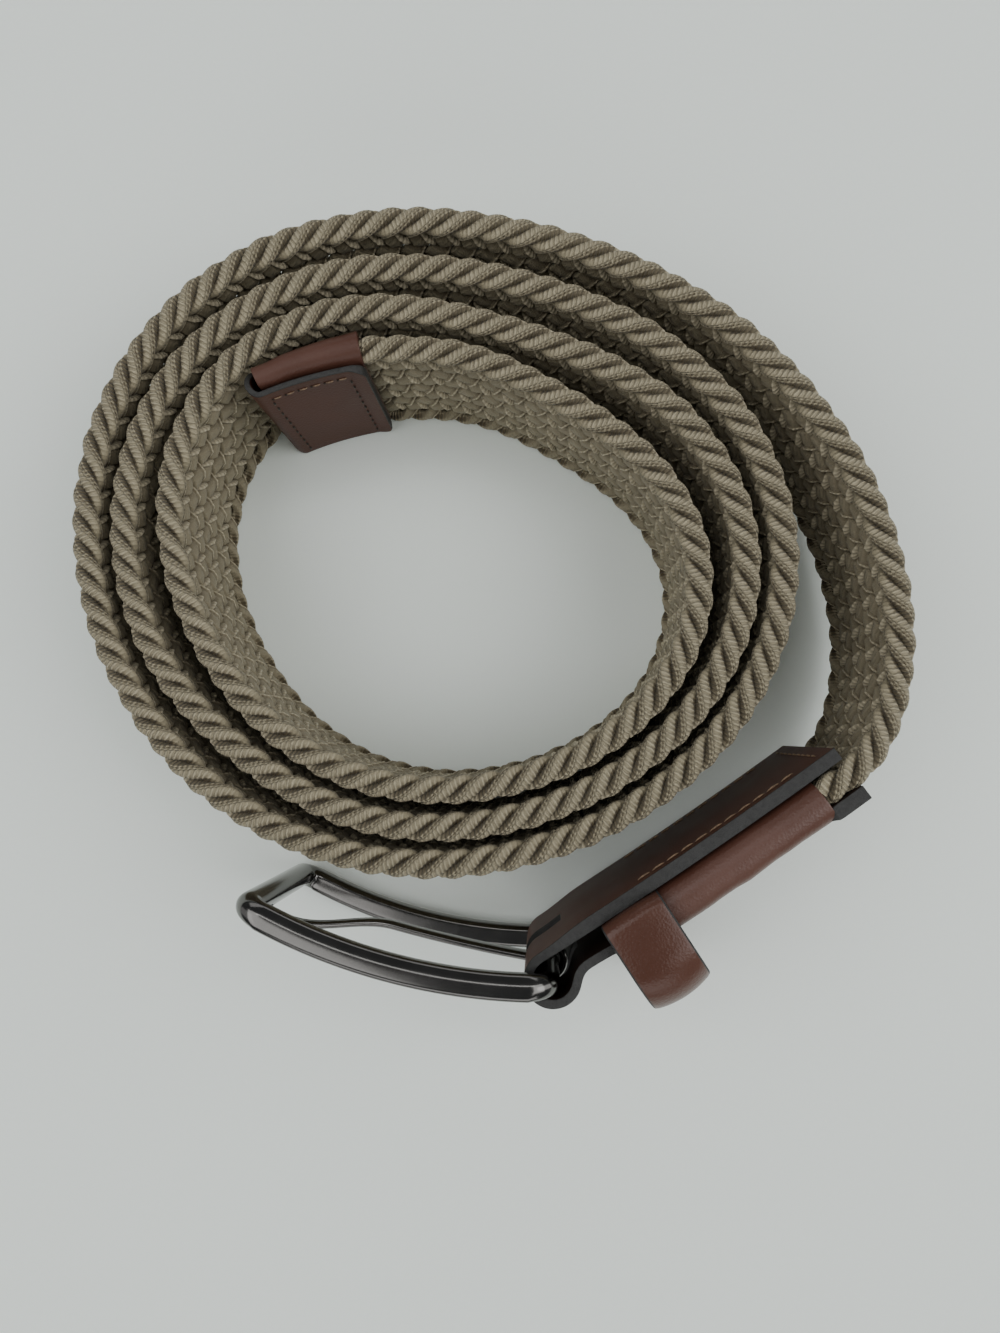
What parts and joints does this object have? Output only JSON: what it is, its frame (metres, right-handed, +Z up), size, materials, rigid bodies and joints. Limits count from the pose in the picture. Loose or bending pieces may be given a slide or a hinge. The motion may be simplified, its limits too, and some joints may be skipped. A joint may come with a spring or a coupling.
{
  "type": "braided belt",
  "caption": "Braided cord belt with leather tip, tab and keeper and an arched pin buckle, rolled into a loose upright coil.",
  "frame": {"origin": "centre of the rolled belt's footprint, at the floor that its lower edge stands on", "axes": "+Z up across the belt's width, +X along the longer side of the coil, with the buckle towards -Y"},
  "size_m": [0.141, 0.1344, 0.044],
  "materials": {
    "cord": "beige braided cord, knitted surface, matt",
    "leather": "dark brown coated leather, soft gloss, grey painted edges",
    "gunmetal": "polished dark gunmetal plating"
  },
  "bodies": {
    "belt": {"strap": "cord", "tip_sleeve": "leather", "tip_patch": "leather", "tab_sleeve": "leather", "tab_strip": "leather", "keeper": "leather"},
    "buckle": {"buckle_frame": "gunmetal"},
    "tongue": {"prong": "gunmetal"}
  },
  "joints": [
    {"name": "buckle_swing", "type": "hinge", "parent": "belt", "child": "buckle", "pos_m": [0.01116, -0.06312, 0.022], "axis": [0, 0, 1], "range_deg": [-5, 80]},
    {"name": "prong_swing", "type": "hinge", "parent": "buckle", "child": "tongue", "pos_m": [0.01116, -0.06312, 0.022], "axis": [0, 0, 1], "range_deg": [0, 80]}
  ]
}
